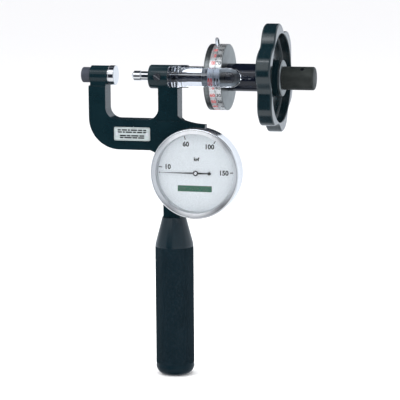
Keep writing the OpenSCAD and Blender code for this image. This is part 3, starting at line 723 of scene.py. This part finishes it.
def add_dial_marks():
    marks = bmesh.new()
    outer, length = 26.7 * MM, 2.4 * MM
    for turn in LOADS.values():
        bar = bmesh.new()
        add_box(bar, (outer - length, -0.3 * MM, 0), (outer, 0.3 * MM, INK))
        on_dial(bar, 0, 0, math.radians(180 - turn))
        join(marks, bar)
    dot = bmesh.new()
    bmesh.ops.create_cone(dot, cap_ends=True, segments=24, radius1=0.4 * MM, radius2=0.4 * MM, depth=INK)
    on_dial(dot, -26 * MM, 0)
    join(marks, dot)
    for text, x, z, height in (("10", -20.1, 3.9, 3.3), ("60", -6.9, 19.9, 3.3), ("100", 9.8, 18.4, 3.3),
                               ("150", 19.9, 0.5, 3.3), ("kgf", 0.5, 9.6, 2.3)):
        figures = lettering(text, height * MM, INK, 0.19 * MM)
        on_dial(figures, x * MM, z * MM)
        join(marks, figures)
    add_piece("dial_marks", marks, BLACK_INK, "bezel")
    bar = bmesh.new()
    add_box(bar, (-12.2 * MM, -2.1 * MM, 0), (12.2 * MM, 2.1 * MM, INK))
    on_dial(bar, -0.8 * MM, -10.8 * MM)
    add_piece("dial_bar", bar, GREEN_INK, "bezel")


add_dial_marks()


def add_pointer_cap():
    """A small bright dome on the pointer's hub."""
    front = span("pointer", 1)[0]
    mesh = bmesh.new()
    bmesh.ops.create_uvsphere(mesh, u_segments=32, v_segments=16, radius=1.0 * MM)
    bmesh.ops.scale(mesh, vec=(1, 0.3, 1), verts=mesh.verts)
    bmesh.ops.translate(mesh, vec=(GAUGE.x, front, GAUGE.z), verts=mesh.verts)
    smooth(mesh)
    add_piece("pointer_cap", mesh, BRIGHT_STEEL, "pointer")


add_pointer_cap()


# ---- plunger ----

rounded("plunger", BRIGHT_STEEL_Z, 0.1, 2)
paint("drive_pin", BRIGHT_STEEL)


# ---- knurled handle ----

def stacked_rings(profile, columns, high_r, low_r):
    """A solid round the grip's axis from (radius, z); radius "knurl" is a row of diamonds."""
    mesh = bmesh.new()
    rings = []
    for row, (r, z) in enumerate(profile):
        if r == 0:
            rings.append([mesh.verts.new((GRIP.x, 0, z))])
            continue
        ring = []
        for i in range(columns):
            here = r if r != "knurl" else high_r if (i + row) % 2 == 0 else low_r
            angle = 2 * math.pi * i / columns
            ring.append(mesh.verts.new((GRIP.x + here * math.cos(angle), here * math.sin(angle), z)))
        rings.append(ring)
    for row, (upper, lower) in enumerate(zip(rings, rings[1:])):
        diamonds = profile[row][0] == profile[row + 1][0] == "knurl"
        for i in range(columns):
            j = (i + 1) % columns
            if len(upper) == 1:
                mesh.faces.new((upper[0], lower[i], lower[j]))
            elif len(lower) == 1:
                mesh.faces.new((upper[j], upper[i], lower[0]))
            elif diamonds and (i + row) % 2 == 0:
                mesh.faces.new((upper[i], lower[i], upper[j]))
                mesh.faces.new((upper[j], lower[i], lower[j]))
            elif diamonds:
                mesh.faces.new((upper[i], lower[i], lower[j]))
                mesh.faces.new((upper[i], lower[j], upper[j]))
            else:
                mesh.faces.new((upper[i], lower[i], lower[j], upper[j]))
    bmesh.ops.recalc_face_normals(mesh, faces=mesh.faces)
    smooth(mesh, 22)
    return mesh


def add_handle():
    """The grip: a plain cone, then a diamond knurl that ends in a plain rounded foot."""
    low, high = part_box("handle")
    radius = (high.x - low.x) / 2
    neck, cone_end = 8.4 * MM, high.z - 19.5 * MM
    end_round = 6.5 * MM
    knurl_top, knurl_bottom = cone_end - 1.6 * MM, low.z + 8.5 * MM
    pitch, depth = 1.04 * MM, 0.34 * MM
    columns = 2 * round(2 * math.pi * radius / pitch)
    rows = 2 * round((knurl_top - knurl_bottom) / (pitch * math.sqrt(3)))
    land = radius - 0.55 * depth
    seam = knurl_top + 0.15 * MM
    cone = [
        (0, high.z),
        (neck - 0.4 * MM, high.z),
        (neck, high.z - 0.4 * MM),
        (radius - 0.25 * MM, cone_end + 0.4 * MM),
        (land, cone_end - 0.4 * MM),
        (land, seam),
        (0, seam),
    ]
    add_piece("handle_cone", stacked_rings(cone, columns, 0, 0), CONE_BLACK, "frame")
    grip = [(0, seam), (land, seam)]
    grip += [("knurl", knurl_top + (knurl_bottom - knurl_top) * i / rows) for i in range(rows + 1)]
    grip += [(land, knurl_bottom - 0.15 * MM), (land, low.z + end_round + 0.6 * MM)]
    grip += arc((radius - end_round, low.z + end_round), end_round, 0, -90, 10)
    grip += [(0, low.z)]
    mesh = stacked_rings(grip, columns, radius, radius - depth)
    add_piece("handle_knurled", mesh, HANDLE_BLACK, "frame", ["handle"])


add_handle()


# ---- floor, light and world ----

def add_floor():
    mesh = bmesh.new()
    corners = [mesh.verts.new(p) for p in ((-9, -4, 0), (9, -4, 0), (9, 14, 0), (-9, 14, 0))]
    mesh.faces.new(corners)
    bmesh.ops.translate(mesh, verts=mesh.verts, vec=(0, 0, FLOOR_Z))
    data = bpy.data.meshes.new("floor")
    mesh.to_mesh(data)
    mesh.free()
    f = Finish("floor", Base_Color=(0.93, 0.93, 0.93, 1), Roughness=0.9, Specular_IOR_Level=0.1)
    data.materials.append(f.material)
    floor = bpy.data.objects.new("floor", data)
    bpy.context.scene.collection.objects.link(floor)
    floor.visible_glossy = False


def add_softbox(name, place, aim, size, power, colour=(1, 1, 1)):
    data = bpy.data.lights.new(name, "AREA")
    data.shape = "RECTANGLE"
    data.size, data.size_y = size
    data.energy = power
    data.color = colour
    light = bpy.data.objects.new(name, data)
    place, aim = Vector(place), Vector(aim)
    light.visible_glossy = False
    facing = (aim - place).to_track_quat("-Z", "Y").to_matrix().to_4x4()
    light.matrix_world = Matrix.Translation(place) @ facing
    bpy.context.scene.collection.objects.link(light)


def add_world():
    """A pale room; polished surfaces mirror a window high in front, a pale table and a dark room.

    Turn and height are degrees: turn 0 is towards -Y and grows towards +X.
    """
    world = bpy.data.worlds.new("studio")
    world.use_nodes = True
    w = Nodes(world.node_tree)
    background = w.tree.nodes["Background"]
    direction = w.node("SeparateXYZ", Vector=w.node("TexCoord").outputs["Generated"])
    x, y, z = direction.outputs
    height = w.maths("DEGREES", w.maths("ARCSINE", z))
    turn = w.maths("DEGREES", w.maths("ARCTAN2", x, w.maths("MULTIPLY", y, -1)))
    aside = w.maths("ABSOLUTE", turn)

    def band(value, low, high, soft):
        return w.maths(
            "MULTIPLY", w.ramp(value, low - soft, low + soft), w.ramp(value, high + soft, high - soft)
        )

    def zone(low_turn, high_turn, low_height, high_height, soft=5):
        across, up = band(turn, low_turn, high_turn, soft), band(height, low_height, high_height, soft)
        return w.maths("MULTIPLY", across, up)

    def lay(under, share, colour):
        return w.mix(share, under, (*colour, 1))

    dark, cool = (0.02, 0.025, 0.035), (0.84, 0.9, 0.98)
    in_front = w.ramp(aside, 100, 80)
    at_back = w.ramp(aside, 80, 100)
    mirrored = (0.55, 0.59, 0.64, 1)
    mirrored = lay(mirrored, w.ramp(height, 58, 68), dark)
    behind_left = w.maths("MULTIPLY", band(turn, -185, -140, 5), w.ramp(height, -1, 3))
    mirrored = lay(mirrored, behind_left, dark)
    mirrored = lay(mirrored, zone(-55, 60, 12, 60, 4), (0.35, 0.37, 0.4))
    mirrored = lay(mirrored, zone(-52, -3, 15, 59, 4), (1.0, 1.02, 1.05))
    mirrored = lay(mirrored, zone(-60, 20, 45, 49, 1), (4.0, 4.1, 4.3))
    mirrored = lay(mirrored, zone(-36, 2, -26, 13, 4), dark)
    table = w.maths("MULTIPLY", in_front, band(height, -62, -27, 4))
    mirrored = lay(mirrored, table, (0.85, 0.87, 0.9))
    mirrored = lay(mirrored, w.ramp(height, -62, -70), (0.1, 0.11, 0.13))
    mirrored = lay(mirrored, w.maths("MULTIPLY", at_back, band(height, -27, 0, 3)), cool)
    mirrored = lay(mirrored, zone(95, 190, -3, 26), cool)
    path = w.node("LightPath").outputs
    bounced = w.maths("MINIMUM", path["Glossy Depth"], 1)
    by_mirror = w.maths("MULTIPLY", path["Is Glossy Ray"], bounced)
    w.feed(background.inputs["Color"], w.mix(by_mirror, (1.0, 1.0, 1.02, 1), mirrored))
    background.inputs["Strength"].default_value = 1.05
    bpy.context.scene.world = world


add_floor()
add_softbox("key", (-0.75, -0.9, 0.95), (0.05, 0, -0.06), (0.5, 0.5), 14)
add_softbox("top", (0.1, 0.15, 1.1), (0.05, 0, -0.08), (0.9, 0.5), 9)
add_softbox("fill", (1.0, -0.7, 0.35), (0.05, 0, -0.08), (0.35, 0.7), 4)
add_world()
bpy.context.scene.view_settings.view_transform = "Standard"

bpy.context.view_layer.update()
